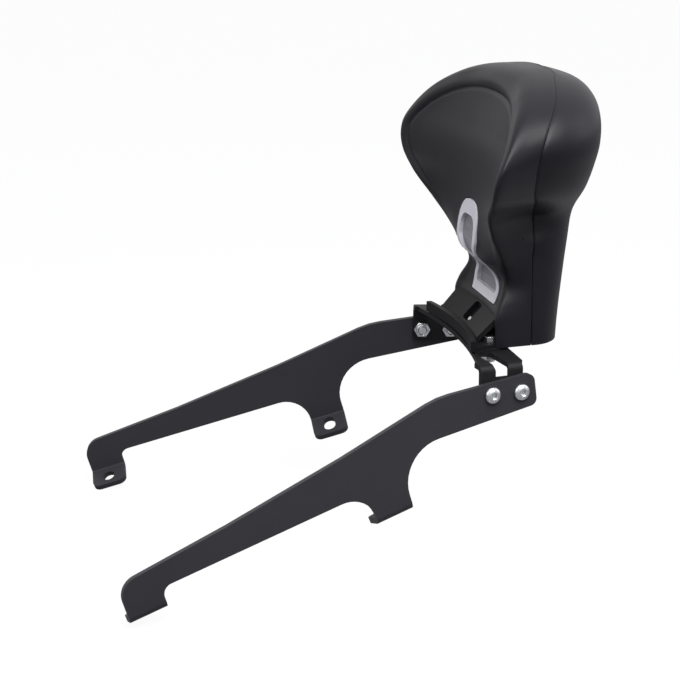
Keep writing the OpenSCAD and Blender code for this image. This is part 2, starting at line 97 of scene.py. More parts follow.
def newTree(name):
    # empty material with its object coordinates and a surface shader
    material = bpy.data.materials.new(name)
    material.use_nodes = True
    tree = material.node_tree
    tree.nodes.clear()
    place = addNode(tree, "ShaderNodeTexCoord").outputs["Object"]
    shader = addNode(tree, "ShaderNodeBsdfPrincipled")
    addNode(tree, "ShaderNodeOutputMaterial", links={"Surface": shader.outputs["BSDF"]})
    return material, tree, place, shader


def perMetre(sizeMm):
    # pattern scale for a feature of this size
    return 1 / (sizeMm * mm)


# Materials

def coatedSteel(name, dark, light, peelMm, roughLow, roughHigh, specular):
    # satin powder coat, baked on: an even film whose slight orange peel softens the highlights
    material, tree, place, shader = newTree(name)
    cloud = addNode(tree, "ShaderNodeTexNoise", {"Scale": perMetre(60), "Detail": 3}, {"Vector": place})
    peel = addNode(tree, "ShaderNodeTexNoise", {"Scale": perMetre(peelMm), "Detail": 2, "Roughness": 0.4},
                   {"Vector": place})
    tint = addNode(tree, "ShaderNodeValToRGB", links={"Fac": cloud.outputs["Fac"]})
    tint.color_ramp.elements[0].color = hexColor(dark)
    tint.color_ramp.elements[1].color = hexColor(light)
    rough = addNode(tree, "ShaderNodeMapRange", {"To Min": roughLow, "To Max": roughHigh},
                    {"Value": cloud.outputs["Fac"]})
    bump = addNode(tree, "ShaderNodeBump", {"Strength": 0.25, "Distance": 0.06 * mm},
                   {"Height": peel.outputs["Fac"]})
    tree.links.new(tint.outputs["Color"], shader.inputs["Base Color"])
    tree.links.new(rough.outputs["Result"], shader.inputs["Roughness"])
    tree.links.new(bump.outputs["Normal"], shader.inputs["Normal"])
    shader.inputs["Specular IOR Level"].default_value = specular
    return material


def turnedStainless(name, dark, light, rough):
    # stainless steel, turned and pressed: bright, with a faint smear of tool marks
    material, tree, place, shader = newTree(name)
    marks = addNode(tree, "ShaderNodeTexNoise", {"Scale": perMetre(1.2), "Detail": 4, "Roughness": 0.6},
                    {"Vector": place})
    tint = addNode(tree, "ShaderNodeValToRGB", links={"Fac": marks.outputs["Fac"]})
    tint.color_ramp.elements[0].position = 0.3
    tint.color_ramp.elements[0].color = hexColor(dark)
    tint.color_ramp.elements[1].color = hexColor(light)
    gloss = addNode(tree, "ShaderNodeMapRange", {"To Min": rough - 0.06, "To Max": rough + 0.1},
                    {"Value": marks.outputs["Fac"]})
    bump = addNode(tree, "ShaderNodeBump", {"Strength": 0.1, "Distance": 0.03 * mm},
                   {"Height": marks.outputs["Fac"]})
    tree.links.new(tint.outputs["Color"], shader.inputs["Base Color"])
    tree.links.new(gloss.outputs["Result"], shader.inputs["Roughness"])
    tree.links.new(bump.outputs["Normal"], shader.inputs["Normal"])
    shader.inputs["Metallic"].default_value = 1
    return material


def grainedPolymer(name, dark, light, grainMm, grainDepth, roughLow, roughHigh, specular):
    # moulded black polymer: the tool's grain breaks up the gloss, and handling evens it out in patches
    material, tree, place, shader = newTree(name)
    cloud = addNode(tree, "ShaderNodeTexNoise", {"Scale": perMetre(45), "Detail": 4}, {"Vector": place})
    grain = addNode(tree, "ShaderNodeTexVoronoi", {"Scale": perMetre(grainMm), "Randomness": 1},
                    {"Vector": place}, feature="SMOOTH_F1")
    speck = addNode(tree, "ShaderNodeTexNoise", {"Scale": perMetre(grainMm * 0.6), "Detail": 2},
                    {"Vector": place})
    tint = addNode(tree, "ShaderNodeValToRGB", links={"Fac": cloud.outputs["Fac"]})
    tint.color_ramp.elements[0].position = 0.3
    tint.color_ramp.elements[0].color = hexColor(dark)
    tint.color_ramp.elements[1].position = 0.75
    tint.color_ramp.elements[1].color = hexColor(light)
    both = addNode(tree, "ShaderNodeMath", {1: 0.4}, {0: speck.outputs["Fac"], 2: grain.outputs["Distance"]},
                   operation="MULTIPLY_ADD")
    rough = addNode(tree, "ShaderNodeMapRange", {"To Min": roughLow, "To Max": roughHigh},
                    {"Value": cloud.outputs["Fac"]})
    bump = addNode(tree, "ShaderNodeBump", {"Strength": 0.35, "Distance": grainDepth * mm},
                   {"Height": both.outputs["Value"]})
    tree.links.new(tint.outputs["Color"], shader.inputs["Base Color"])
    tree.links.new(rough.outputs["Result"], shader.inputs["Roughness"])
    tree.links.new(bump.outputs["Normal"], shader.inputs["Normal"])
    shader.inputs["Specular IOR Level"].default_value = specular
    return material


def flakePaint(name, dark, light, flakeMm):
    # silver paint on moulded plastic: fine aluminium flake under a satin clear coat
    material, tree, place, shader = newTree(name)
    flake = addNode(tree, "ShaderNodeTexVoronoi", {"Scale": perMetre(flakeMm)}, {"Vector": place})
    cloud = addNode(tree, "ShaderNodeTexNoise", {"Scale": perMetre(20), "Detail": 3}, {"Vector": place})
    tint = addNode(tree, "ShaderNodeValToRGB", links={"Fac": flake.outputs["Color"]})
    tint.color_ramp.elements[0].color = hexColor(dark)
    tint.color_ramp.elements[1].color = hexColor(light)
    rough = addNode(tree, "ShaderNodeMapRange", {"To Min": 0.34, "To Max": 0.46},
                    {"Value": cloud.outputs["Fac"]})
    tree.links.new(tint.outputs["Color"], shader.inputs["Base Color"])
    tree.links.new(rough.outputs["Result"], shader.inputs["Roughness"])
    shader.inputs["Metallic"].default_value = 0.15
    shader.inputs["Coat Weight"].default_value = 0.25
    shader.inputs["Coat Roughness"].default_value = 0.25
    return material


# Flakes of 0.1 mm and grain of 0.4 mm are too fine to show, so both are drawn coarser
armCoat = coatedSteel("satinPowderCoatArm", "#2A292D", "#323135", 1.6, 0.46, 0.54, 0.18)
bracketCoat = coatedSteel("satinPowderCoatBracket", "#131315", "#19191B", 1.6, 0.46, 0.56, 0.15)
stainless = turnedStainless("turnedStainlessSteel", "#B4B5B8", "#DCDDDF", 0.26)
gasketRubber = grainedPolymer("cutSheetRubber", "#0F0F10", "#171718", 1.2, 0.12, 0.75, 0.88, 0.15)
mouldedNylon = grainedPolymer("sparkGrainedNylon", "#0E0E10", "#141416", 1.1, 0.07, 0.5, 0.6, 0.12)
skinFoam = grainedPolymer("vinylSkinnedFoam", "#0C0A10", "#121017", 1.5, 0.1, 0.4, 0.5, 0.22)
shellPlastic = grainedPolymer("sparkGrainedShellPlastic", "#0C0A10", "#121017", 1.2, 0.07, 0.38, 0.48, 0.22)
# the tray floor's grey is the silver paint darkened: painted shade of the trim's recesses
trayPaintDarkenedForShade = flakePaint("trayPaintWithPaintedShade", "#69676E", "#77757C", 0.5)
silverPaint = flakePaint("silverFlakePaint", "#BDBBC3", "#D2D0D7", 0.5)
print("materials ready")


# Mesh helpers

def meshPiece(name, points, faces, material):
    # object at the origin from an array of points in millimetres
    data = bpy.data.meshes.new(name)
    data.from_pydata((np.asarray(points) * mm).tolist(), [], [tuple(f) for f in faces])
    piece = bpy.data.objects.new(name, data)
    scene.collection.objects.link(piece)
    data.materials.append(material)
    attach(piece, "root")
    return piece


def gridQuads(rows, columns, closed=False):
    # quads between neighbouring rows of points; a closed grid joins its last column to its first
    count = columns if closed else columns - 1
    i, j = np.meshgrid(np.arange(rows - 1), np.arange(count), indexing="ij")
    following = (j + 1) % columns
    quads = np.stack([i * columns + j, i * columns + following, (i + 1) * columns + following,
                      (i + 1) * columns + j], axis=-1)
    return quads.reshape(-1, 4).tolist()


def cleanMesh(piece, gap, fillHoles=False):
    # merges doubles, closes open rims and turns the faces outwards
    work = bmesh.new()
    work.from_mesh(piece.data)
    bmesh.ops.remove_doubles(work, verts=work.verts, dist=gap * mm)
    if fillHoles:
        rim = [edge for edge in work.edges if edge.is_boundary]
        caps = bmesh.ops.holes_fill(work, edges=rim, sides=0)["faces"]
        bmesh.ops.triangulate(work, faces=caps)
    bmesh.ops.recalc_face_normals(work, faces=work.faces)
    work.to_mesh(piece.data)
    work.free()
    piece.data.update()


def shade(piece, degrees):
    # smooth shading, sharp where faces meet at more than this angle
    piece.data.shade_smooth()
    piece.data.set_sharp_from_angle(angle=math.radians(degrees))


def applyModifiers(piece):
    # the evaluated mesh takes the place of the mesh and its modifiers
    graph = bpy.context.evaluated_depsgraph_get()
    finished = bpy.data.meshes.new_from_object(piece.evaluated_get(graph))
    piece.modifiers.clear()
    piece.data = finished


def flatNormals(piece, flatArea=25, areaPower=1.5, sameSide=0.75):
    # normals weighed by area to a power, and flat ones on each face over flatArea mm2 or turned away from
    # its neighbours (cosine under sameSide), so that sheet looks flat up to its edges
    data = piece.data
    count, corners = len(data.polygons), len(data.loops)
    area, normal = np.zeros(count), np.zeros(count * 3)
    total, vertex = np.zeros(count, int), np.zeros(corners, int)
    data.polygons.foreach_get("area", area)
    data.polygons.foreach_get("normal", normal)
    data.polygons.foreach_get("loop_total", total)
    data.loops.foreach_get("vertex_index", vertex)
    normal = normal.reshape(-1, 3)
    face = np.repeat(np.arange(count), total)
    sums = np.zeros((len(data.vertices), 3))
    np.add.at(sums, vertex, (normal * (area ** areaPower)[:, None])[face])
    shared = sums[vertex]
    length = np.linalg.norm(shared, axis=1, keepdims=True)
    shared = np.where(length > 0, shared / np.where(length > 0, length, 1), normal[face])
    away = np.sum(shared * normal[face], axis=1) < sameSide
    own = (area[face] > flatArea * mm * mm) | away
    data.normals_split_custom_set(np.where(own[:, None], normal[face], shared).tolist())


copySettings = {"merge": 0.003, "dissolve": 0.1, "segments": 2, "bevelFrom": 28}


def roundedCopy(nodes, name, material, width, reshape=None):
    # merged copy of CAD nodes with their sharp edges rounded, which stands for them
    work = bmesh.new()
    for node in nodes:
        work.from_mesh(frame["nodes"][node].data)
    if reshape:
        for vertex, place in zip(work.verts, reshape(np.array([vertex.co for vertex in work.verts]))):
            vertex.co = place
    bmesh.ops.remove_doubles(work, verts=work.verts, dist=copySettings["merge"] * mm)
    bmesh.ops.dissolve_limit(work, angle_limit=math.radians(copySettings["dissolve"]), verts=work.verts,
                             edges=work.edges)
    data = bpy.data.meshes.new(name)
    work.to_mesh(data)
    work.free()
    data.materials.clear()
    data.materials.append(material)
    piece = bpy.data.objects.new(name, data)
    scene.collection.objects.link(piece)
    data.shade_smooth()
    bevel = piece.modifiers.new("roundedEdges", "BEVEL")
    bevel.width = width * mm
    bevel.segments = copySettings["segments"]
    bevel.limit_method = "ANGLE"
    bevel.angle_limit = math.radians(copySettings["bevelFrom"])
    applyModifiers(piece)
    flatNormals(piece)
    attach(piece, "root")
    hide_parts(*nodes)
    return piece


# Plates and small mouldings

armFrame = {"span": 248, "splay": 9.65, "slope": 17.6, "firstBolt": (107.5, 61.1), "boltSpacing": 26.2,
            "armThickness": 5, "bracketThickness": 4}


def rowPlace(mirror):
    # frame of a bolt row: x out of the arm, y along the bolts, z up
    slope, splay = math.radians(armFrame["slope"]), math.radians(armFrame["splay"])
    rowTurn = math.atan(math.cos(splay) * math.tan(slope))
    first = [value * mm for value in armFrame["firstBolt"]]
    return (Matrix.Diagonal((mirror, 1, 1, 1)) @ Matrix.Rotation(slope, 4, "X")
            @ Matrix.Translation((armFrame["span"] / 2 * mm, 0, 0)) @ Matrix.Rotation(splay, 4, "Z")
            @ Matrix.Translation((0, *first)) @ Matrix.Rotation(-rowTurn, 4, "X"))


stripZone = {"inner": -18.5, "outer": -4, "halfHeight": 40, "backTo": -5.0, "fade": 5, "step": 2.6}


def trimmedStrip(points):
    # draws the folded strips' front edges back to the top plate's own edge
    v = stripZone
    moved = np.column_stack([points, np.ones(len(points))])
    for mirror in (1, -1):
        place = np.array(rowPlace(mirror))
        inRow = moved @ np.linalg.inv(place).T
        outward, along, up = (inRow[:, i] / mm for i in range(3))
        strip = ((outward > v["inner"]) & (outward < v["outer"]) & (np.abs(up) < v["halfHeight"])
                 & (along < v["backTo"]))
        inRow[:, 1] += strip * v["step"] * mm * np.clip((v["backTo"] - along) / v["fade"], 0, 1)
        moved = np.where(strip[:, None], inRow @ place.T, moved)
    return moved[:, :3]


edgeWidths = {"arm": 0.7, "bracket": 0.6, "gasket": 0.3, "cover": 0.6, "trim": 0.7}
for side in ("left", "right"):
    roundedCopy([side + "_arm"], side + "ArmPlate", armCoat, edgeWidths["arm"])
roundedCopy(["cross_bracket"], "foldedBracket", bracketCoat, edgeWidths["bracket"],
            reshape=trimmedStrip)
roundedCopy(["base_gasket"], "footGasket", gasketRubber, edgeWidths["gasket"])
roundedCopy(["neck_cover"], "footMoulding", mouldedNylon, edgeWidths["cover"])
trim = roundedCopy(["trim"], "silverTrim", silverPaint, edgeWidths["trim"])
print("plates, foot and trim made")


# Bolts and nuts

buttonBolt = {"headWidth": 14, "headHeight": 4.4, "rim": 1, "key": 5, "keyDepth": 2.6, "shank": 8}
hexBolt = {"acrossFlats": 13, "headHeight": 5.3, "shank": 8}
lockNut = {"acrossFlats": 13, "height": 6, "collar": 2, "collarWidth": 11.2, "thread": 8.2}
aroundCount = 96
around = np.linspace(0, 2 * np.pi, aroundCount, endpoint=False)


def hexRadius(acrossFlats):
    # distance from a hexagon's middle to its side, in each direction
    return acrossFlats / 2 / np.cos((around + np.pi / 6) % (np.pi / 3) - np.pi / 6)


def turned(rows, place):
    # surface of rings: each row is a radius, which may change with direction, and a height
    radius = np.stack([np.broadcast_to(r, around.shape) for r, _ in rows])
    height = np.stack([np.broadcast_to(z, around.shape) for _, z in rows])
    points = np.stack([radius * np.cos(around), radius * np.sin(around), height, np.ones_like(radius)],
                      axis=-1)
    points[..., :3] *= mm
    return (points.reshape(-1, 4) @ np.array(place).T)[:, :3] / mm, gridQuads(len(rows), aroundCount, True)


def buttonRows(v, grip):
    # hexagonal socket, flat top, dome, short rim, then the shank down to its chamfered end
    half, top, socket = v["headWidth"] / 2, v["headHeight"], hexRadius(v["key"])
    pit = top - v["keyDepth"]
    dome = [(half * math.cos(a), v["rim"] + (top - v["rim"]) * math.sin(a) / math.sin(math.pi / 3))
            for a in np.radians(np.linspace(60, 0, 13))]
    return ([(0, pit - 0.3), (socket * 0.5, pit), (socket * 0.98, pit), (socket, top - 0.35),
             (socket + 0.3, top)] + dome
            + [(half, 0.25), (half - 0.25, 0), (v["shank"] / 2, 0), (v["shank"] / 2, -grip + 0.8),
               (v["shank"] / 2 - 0.7, -grip), (0, -grip)])


def hexBoltRows(v, grip):
    # hexagonal head whose corners are turned off at a slope, then the shank
    side, corner = hexRadius(v["acrossFlats"]), v["acrossFlats"] / 2
    rows = [(0, v["headHeight"]), (corner - 0.6, v["headHeight"])]
    for drop in (0.05, 0.25, 0.5, 0.8, 1.1):
        rows.append((np.minimum(side, corner - 0.5 + drop * 1.9), v["headHeight"] - drop))
    return rows + [(side, 0.35), (side - 0.3, 0), (v["shank"] / 2, 0), (v["shank"] / 2, -grip + 0.8),
                   (v["shank"] / 2 - 0.7, -grip), (0, -grip)]


def nutRows(v):
    # hexagonal body with turned corners and a rounded collar round the locking ring
    side, corner, high = hexRadius(v["acrossFlats"]), v["acrossFlats"] / 2, v["height"]
    rows = [(v["thread"] / 2, 0), (corner - 0.5, 0)]
    rows += [(np.minimum(side, corner - 0.4 + lift * 1.9), lift) for lift in (0.1, 0.3, 0.5, 0.8)]
    rows += [(np.minimum(side, corner - 0.4 + drop * 1.9), high - drop) for drop in (0.8, 0.5, 0.3, 0.1)]
    bend = np.radians(np.linspace(0, 90, 6))
    rows += [(v["collarWidth"] / 2, high)]
    rows += [(v["collarWidth"] / 2 - 0.9 + 0.9 * math.cos(a), high + v["collar"] - 0.9 + 0.9 * math.sin(a))
             for a in bend]
    return rows + [(v["thread"] / 2 + 0.3, high + v["collar"]), (v["thread"] / 2, high + v["collar"] - 0.3),
                   (v["thread"] / 2, 0)]


def turnedPiece(name, rows, place, node):
    points, faces = turned(rows, place)
    piece = meshPiece(name, points, faces, stainless)
    cleanMesh(piece, 0.002)
    shade(piece, 24)
    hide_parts(node)
    return piece


def armPlace(mirror, along):
    # frame of an arm bolt: z points out of the arm's face
    return rowPlace(mirror) @ Matrix.Translation((0, along * mm, 0)) @ Matrix.Rotation(math.pi / 2, 4, "Y")


plates = armFrame["armThickness"] + armFrame["bracketThickness"]
nutHeight = lockNut["height"] + lockNut["collar"]
for side, mirror in (("left", 1), ("right", -1)):
    for spot, along in (("front", 0), ("rear", armFrame["boltSpacing"])):
        place = armPlace(mirror, along)
        # no two sockets stand at the same angle
        spin = Matrix.Rotation(0.3 + along * 0.04 * mirror, 4, "Z")
        turnedPiece(side + spot.title() + "ButtonBolt", buttonRows(buttonBolt, plates + nutHeight),
                    place @ spin, "arm_bolt_" + side + "_" + spot)
        inside = place @ Matrix.Translation((0, 0, -plates * mm)) @ Matrix.Rotation(math.pi, 4, "X")
        turnedPiece(side + spot.title() + "LockNut", nutRows(lockNut), inside,
                    "arm_nut_" + side + "_" + spot)
print("arm bolts made")


foot = {"boltX": 48, "boltY": 24.7, "gasket": 2, "plate": 3.5, "bracket": 4}


def nodeMiddle(node, axis):
    low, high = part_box(node)
    return (low[axis] + high[axis]) / 2 / mm


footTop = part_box("base_gasket")[0][2] / mm + foot["gasket"] + foot["plate"]
for side in ("left", "right"):
    node = "base_bolt_" + side
    place = Matrix.Translation((nodeMiddle(node, 0) * mm, nodeMiddle(node, 1) * mm, footTop * mm))
    grip = foot["plate"] + foot["gasket"] + foot["bracket"] + nutHeight
    turnedPiece(side + "FootBolt", hexBoltRows(hexBolt, grip), place, node)
    under = (place @ Matrix.Translation((0, 0, -(foot["plate"] + foot["gasket"] + foot["bracket"]) * mm))
             @ Matrix.Rotation(math.pi, 4, "X"))
    turnedPiece(side + "FootNut", nutRows(lockNut), under, "base_nut_" + side)
# the small screw's shape is right, so its node stays and gets the steel in its own slots
for slot in frame["nodes"]["cover_screw"].material_slots:
    slot.material = stainless
print("foot bolts made")


# Backrest: the same rows of height and value as in the solid, here on a fine grid

backrest = {
    "neckX": 58, "wingX": 139, "partNeckX": 56, "partWingX": 129,
    "height": 228, "frontTop": 220, "wide": 162, "partWide": 176, "heart": 130,
    "foot": 2, "gap": 0.3,
    "frontDome": (1.6, 2.2), "partDome": (2, 2.3), "rearPower": 2.1,
    "sideBulge": 1.5, "topBulge": 6, "turnEarly": 10,
    "edgeRound": 190, "edgeReach": 30,
    "seamInset": 13, "seamDepth": 1.5, "seamWidth": 1.7, "seamFrom": 104,
    "seamFade": 22, "puff": 0.9, "puffAt": 0.45, "puffWidth": 4.5,
    "partRound": 0.6, "partReach": 1.4,
    "evenDepth": 30, "evenBelow": 165, "evenFade": 30, "evenPasses": 90,
}
frontFlare = [[26, 0], [37, -0.03], [52, -0.1], [64, -0.045], [77, 0.085], [90, 0.19], [102, 0.31],
              [124, 0.65], [140, 0.91], [162, 1]]
partFlare = [[78, 0], [89, 0.04], [102, 0.02], [114, 0.06], [124, 0.34], [134, 0.61], [145, 0.77],
             [157, 0.89], [176, 1]]
frontEdge = [[0, 27], [14, 27], [26.5, 27], [36, 29.5], [55, 36], [77, 27], [90, 19.7], [102, 12],
             [124, -0.5], [145, -5], [163, -3], [179, 5], [195, 15.5], [209, 28], [220, 38]]
frontMid = [[0, 32.72], [14, 32.72], [26.5, 32.72], [34, 35.4], [45, 37.7], [55, 36.7], [64, 28.8],
            [71, 21], [78, 17.6], [90, 17.6], [104, 19.3], [116, 20.5], [145, 21.5], [163, 23.5], [179, 28],
            [202, 34.5], [220, 38]]
frontPower = [[26.5, 2], [36, 3], [64, 3], [86, 2]]
partEdge = [[0, 59], [60, 57.5], [100, 56], [112, 54.5], [124, 46], [140, 37], [157, 33.5], [170, 32.5],
            [182, 35], [200, 44], [214, 56], [223, 65.5], [228, 75]]
partMid = [[0, 67], [87, 65], [127, 67], [177, 73], [228, 75]]
riseLine = [[0, 0], [124, 0], [145, 1], [163, 6], [179, 8.5], [202, 8.5], [220, 8]]
rearMid = [[0, 93.5], [29, 95], [79, 100], [124, 104], [150, 107], [175, 110], [198, 110.4], [212, 106.8],
           [222, 97], [228, 77]]


def curve(rows, at):
    # smooth curve through rows of place and value, flat at its ends
    table = np.array(rows, float)
    x, y = table[:, 0], table[:, 1]
    slope = np.zeros(len(x))
    slope[1:-1] = (y[2:] - y[:-2]) / (x[2:] - x[:-2])
    at = np.clip(np.asarray(at, float), x[0], x[-1])
    i = np.clip(np.searchsorted(x, at, side="right") - 1, 0, len(x) - 2)
    w = x[i + 1] - x[i]
    s = (at - x[i]) / w
    return ((2 * s ** 3 - 3 * s ** 2 + 1) * y[i] + (s ** 3 - 2 * s ** 2 + s) * w * slope[i]
            + (3 * s ** 2 - 2 * s ** 3) * y[i + 1] + (s ** 3 - s ** 2) * w * slope[i + 1])


def smooth(s):
    c = np.clip(s, 0, 1)
    return 3 * c ** 2 - 2 * c ** 3


def dome(s, p, q):
    return (1 - np.clip(s, 0, 1) ** p) ** (1 / q)


def frontX(z):
    # half width of the front edge at a height
    b = backrest
    low = b["neckX"] + (b["wingX"] - b["neckX"]) * curve(frontFlare, z)
    high = b["wingX"] * dome((z - b["wide"]) / (b["frontTop"] - b["wide"]), *b["frontDome"])
    return np.where(z < b["wide"], low, high)


def partX(z):
    # half width of the parting line at a height
    b = backrest
    low = b["partNeckX"] + (b["partWingX"] - b["partNeckX"]) * curve(partFlare, z)
    high = b["partWingX"] * dome((z - b["partWide"]) / (b["height"] - b["partWide"]), *b["partDome"])
    return np.where(z < b["partWide"], low, high)


def across(x, width):
    return np.minimum(1, np.abs(x) / np.maximum(1, width))


def frontY(x, z):
    middle = curve(frontMid, z)
    return middle + (curve(frontEdge, z) - middle) * across(x, frontX(z)) ** curve(frontPower, z)


def partY(x, z):
    middle = curve(partMid, z)
    return middle + (curve(partEdge, z) - middle) * across(x, partX(z)) ** 2


def rearY(x, z):
    # superellipse from the parting line to the rear's middle
    rim, power = partY(x, z), backrest["rearPower"]
    return rim + (curve(rearMid, z) - rim) * (1 - across(x, partX(z)) ** power) ** (1 / power)


def archLevels():
    # heights along half an arch, from the foot to the top
    b = backrest
    low = np.linspace(b["foot"], b["wide"], 125)[:-1]
    high = b["wide"] + (b["frontTop"] - b["wide"]) * np.sin(np.linspace(0, np.pi / 2, 56))
    return np.concatenate([low, high])


levels = archLevels()
frontArch = np.stack([frontX(levels), levels], axis=1)
partHeights = levels + curve(riseLine, levels)
partArch = np.stack([partX(partHeights), partHeights], axis=1)
frontArch[-1, 0] = partArch[-1, 0] = 0


def shrunk(arch, shares):
    # arch drawn towards the middle line and the heart point; one row for each share
    b = backrest
    x = shares[:, None] * arch[None, :, 0]
    z = np.where(arch[None, :, 1] < b["heart"], arch[None, :, 1],
                 b["heart"] + (arch[None, :, 1] - b["heart"]) * shares[:, None])
    return x, z


def layer(x, y, z):
    return np.stack([x, y, z], axis=-1)


def bothHalves(rows):
    # the arches' other halves, mirrored
    other = rows[:, -2::-1].copy()
    other[..., 0] *= -1
    return np.concatenate([rows, other], axis=1)


def smoothAcross(rows, middle, reach, passes):
    # softens the corner at a row by averaging each row with its neighbours; the corner keeps its reach
    kept = rows[middle].copy()
    weight = np.clip(1 - np.abs(np.arange(len(rows)) - middle) / reach, 0, 1)[:, None, None]
    weight[[0, -1]] = 0
    for _ in range(passes):
        mean = rows.copy()
        mean[1:-1] = (rows[:-2] + rows[2:]) / 2
        rows = rows + 0.5 * np.minimum(1, 2 * weight) * (mean - rows)
    rows = rows + (kept - rows[middle])[None] * (np.sin(weight * np.pi / 2) ** 2)
    return rows


def cushionRows():
    # front face from its middle to the edge, the side wall back to the parting line, and a flat back
    b = backrest
    shares = np.concatenate([np.linspace(0, 0.6, 24)[:-1], np.linspace(0.6, 1, 60)])
    x, z = shrunk(frontArch, shares)
    front = layer(x, frontY(x, z), z)
    s = np.linspace(0, 1, 42)[1:, None]
    a = front[-1][None]
    rim = layer(partArch[:, 0], partY(partArch[:, 0], partArch[:, 1]), partArch[:, 1])[None]
    turn = np.pi / 2 * smooth((a[..., 2] - b["wide"] + b["turnEarly"]) / (b["frontTop"] - b["wide"]))
    out = np.sin(np.pi * s ** 0.6)
    bulge = layer(np.where(a[..., 0] > 0, b["sideBulge"] * np.cos(turn), 0), 0 * turn,
                  b["topBulge"] * np.sin(turn))
    sides = a + (rim - a) * s[..., None] ** 1.6 + out[..., None] * bulge
    edgeRow = len(shares) - 1
    rows = smoothAcross(np.concatenate([front, sides]), edgeRow, b["edgeReach"], b["edgeRound"])
    # seam groove a little inside the edge, with soft rolls on both sides of it
    radius = np.hypot(frontArch[:, 0], np.maximum(0, frontArch[:, 1] - b["heart"]))
    inset = (1 - shares)[:, None] * radius[None]
    fade = smooth((z - b["seamFrom"]) / b["seamFade"])
    groove = np.exp(-((inset - b["seamInset"]) / b["seamWidth"]) ** 2)
    roll = np.exp(-((inset - b["seamInset"] * b["puffAt"]) / b["puffWidth"]) ** 2)
    rows[:len(shares), :, 1] += fade * (b["seamDepth"] * groove - b["puff"] * roll)
    # the wall turns in at the parting line
    last = len(rows) - 1
    depth = np.abs(rows[:, :, 1] - rows[last][None, :, 1])
    tuck = b["partRound"] * np.clip(1 - depth / b["partReach"], 0, 1) ** 2
    tuck[:edgeRow + 12] = 0
    rows = tucked(rows, tuck)
    inner = np.array([0.97, 0.85, 0.6, 0.3, 0.0])
    x, z = shrunk(partArch, inner)
    return np.concatenate([rows, layer(x, partY(x, z), z)])


def tucked(rows, amount):
    # moves points towards the heart by an amount in millimetres
    b = backrest
    toX = rows[..., 0]
    toZ = np.maximum(0, rows[..., 2] - b["heart"])
    length = np.maximum(1, np.hypot(toX, toZ))
    moved = rows.copy()
    moved[..., 0] -= amount * toX / length
    moved[..., 2] -= amount * toZ / length
    return moved


def evened(rows, weight, passes):
    # each point drawn towards the mean of its neighbours along the arch
    for _ in range(passes):
        mean = rows.copy()
        mean[:, 1:-1] = (rows[:, :-2] + rows[:, 2:]) / 2
        mean[:, -1, 1] = rows[:, -2, 1]
        rows = rows + weight * (mean - rows)
    return rows


def shellRows():
    # flat front behind the parting line, then the domed rear
    b = backrest
    x, z = shrunk(partArch, np.array([0, 0.3, 0.6, 0.85, 0.97]))
    flat = layer(x, partY(x, z) + b["gap"], z)
    shares = 1 - np.linspace(0, 1, 74) ** 2
    x, z = shrunk(partArch, shares)
    rear = layer(x, rearY(x, z) + b["gap"], z)
    depth = rear[..., 1] - rear[0][None, :, 1]
    tuck = b["partRound"] * np.clip(1 - depth / b["partReach"], 0, 1) ** 2
    tuck[20:] = 0
    # evened behind the parting line and below the wings, where the neck's crease would show
    share = smooth(depth / b["evenDepth"]) * smooth((b["evenBelow"] - rear[..., 2]) / b["evenFade"])
    rear = evened(rear, share[..., None] * 0.5, b["evenPasses"])
    return np.concatenate([flat, tucked(rear, tuck)])


def backrestOffset():
    # the bolts tell where the solid's own frame lies
    return np.array([0, nodeMiddle("base_bolt_left", 1) - foot["boltY"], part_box("base_gasket")[0][2] / mm])


def archPiece(name, rows, material, node):
    full = bothHalves(rows) + backrestOffset()
    piece = meshPiece(name, full.reshape(-1, 3), gridQuads(full.shape[0], full.shape[1]), material)
    cleanMesh(piece, 0.01, fillHoles=True)
    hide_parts(node)
    return piece


shell = archPiece("rearShell", shellRows(), shellPlastic, "rear_shell")
shade(shell, 40)
cushion = archPiece("frontCushion", cushionRows(), skinFoam, "front_cushion")
print("backrest shaped,", len(cushion.data.polygons), "faces in the cushion")


pockets = {
    "trimDepth": 4.3, "grow": 0.8, "ahead": -30,
    "recessRadius": 9, "recessHeight": 13, "recessRound": 3,
    "tongueX": 55.3, "tongueY": 36.3,
}
tray = {"from": 33, "to": 115, "inset": 1.2, "top": 2.2, "bottom": 3.8}
trimHalf = [[30, 32, 2], [33.5, 46, 10], [18, 67, 9], [25, 84, 12], [23.5, 116, 20]]


def roundedOutline(corners):
    # straight sides joined by arcs of each corner's radius
    points = np.array([c[:2] for c in corners], float)
    before, after = np.roll(points, 1, axis=0), np.roll(points, -1, axis=0)
    outline = []
    for a, b, c, r in zip(before, points, after, [c[2] for c in corners]):
        u, v = (a - b) / np.linalg.norm(a - b), (c - b) / np.linalg.norm(c - b)
        half = math.acos(u @ v) / 2
        centre = b + (u + v) / np.linalg.norm(u + v) * r / math.sin(half)
        p, q = b + u * r / math.tan(half) - centre, b + v * r / math.tan(half) - centre
        start = math.atan2(p[1], p[0])
        sweep = (math.atan2(q[1], q[0]) - start + math.pi) % (2 * math.pi) - math.pi
        turn = start + sweep * np.linspace(0, 1, 9)
        outline.append(centre + r * np.stack([np.cos(turn), np.sin(turn)], axis=1))
    return np.concatenate(outline)


def cutterObject(points, faces):
    # closed body that only Booleans use
    data = bpy.data.meshes.new("cutter")
    data.from_pydata((np.asarray(points) * mm).tolist(), [], faces)
    cutter = bpy.data.objects.new("cutter", data)
    scene.collection.objects.link(cutter)
    cleanMesh(cutter, 0.001, fillHoles=True)
    return cutter


def rightSide(corners):
    # half width and height of an outline made of its right half's corners and their mirror images, upwards
    outline = roundedOutline(corners + [[-x, z, r] for x, z, r in reversed(corners)])
    right = outline[outline[:, 0] > 0]
    return right[np.argsort(right[:, 1])]


def slab(half, front, back, z):
    # four-point sections, one at each height, between two depths
    sections = np.stack([layer(-half, front, z), layer(half, front, z), layer(half, back, z),
                         layer(-half, back, z)], axis=1) + backrestOffset()
    return cutterObject(sections.reshape(-1, 3), gridQuads(len(z), 4, True))


